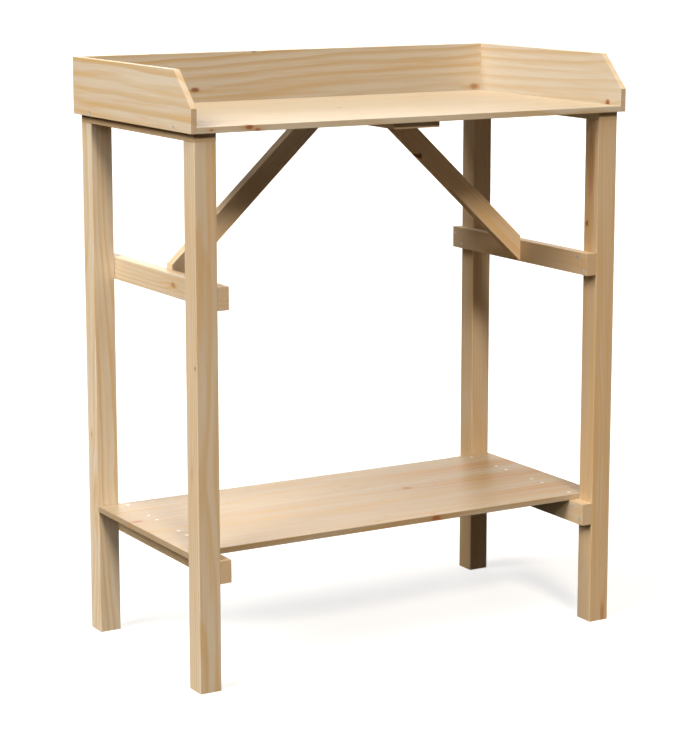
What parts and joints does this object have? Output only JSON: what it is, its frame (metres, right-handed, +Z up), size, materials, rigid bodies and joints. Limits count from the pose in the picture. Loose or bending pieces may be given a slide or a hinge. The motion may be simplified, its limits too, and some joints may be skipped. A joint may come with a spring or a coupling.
{
  "type": "potting bench",
  "caption": "Pine potting bench with a boarded worktop, a raised tray edge on the back and sides, diagonal braces and a low boarded storage shelf.",
  "frame": {"origin": "on the floor, midway between the four legs, which is the middle of the bench seen from above", "axes": "+X towards the right-hand end of the bench seen from the front, +Y towards the back board, +Z up"},
  "size_m": [0.828, 0.442, 0.997],
  "materials": {
    "pine_frame": "planed pine, untreated, satin, with slightly eased edges",
    "pine_boards": "planed pine boards, untreated, satin, with grain along the board and a few knots",
    "zinc_screws": "bright zinc-plated countersunk wood screws with a cross recess"
  },
  "bodies": {
    "root": {"leg_front_left": "pine_frame", "leg_front_right": "pine_frame", "leg_back_left": "pine_frame", "leg_back_right": "pine_frame", "top_rail_left": "pine_frame", "top_rail_right": "pine_frame", "middle_rail_left": "pine_frame", "middle_rail_right": "pine_frame", "lower_rail_left": "pine_frame", "lower_rail_right": "pine_frame", "centre_batten": "pine_frame", "brace_left": "pine_frame", "brace_right": "pine_frame", "top_board_front": "pine_boards", "top_board_middle": "pine_boards", "top_board_back": "pine_boards", "shelf_board_front": "pine_boards", "shelf_board_middle": "pine_boards", "shelf_board_back": "pine_boards", "back_board": "pine_boards", "side_board_left": "pine_boards", "side_board_right": "pine_boards", "leg_top_screws": "zinc_screws", "middle_rail_screws": "zinc_screws", "lower_rail_screws": "zinc_screws", "shelf_screws": "zinc_screws", "worktop_screws": "zinc_screws", "batten_screws": "zinc_screws", "side_board_screws": "zinc_screws", "back_board_screws": "zinc_screws", "brace_screws": "zinc_screws"}
  },
  "joints": []
}
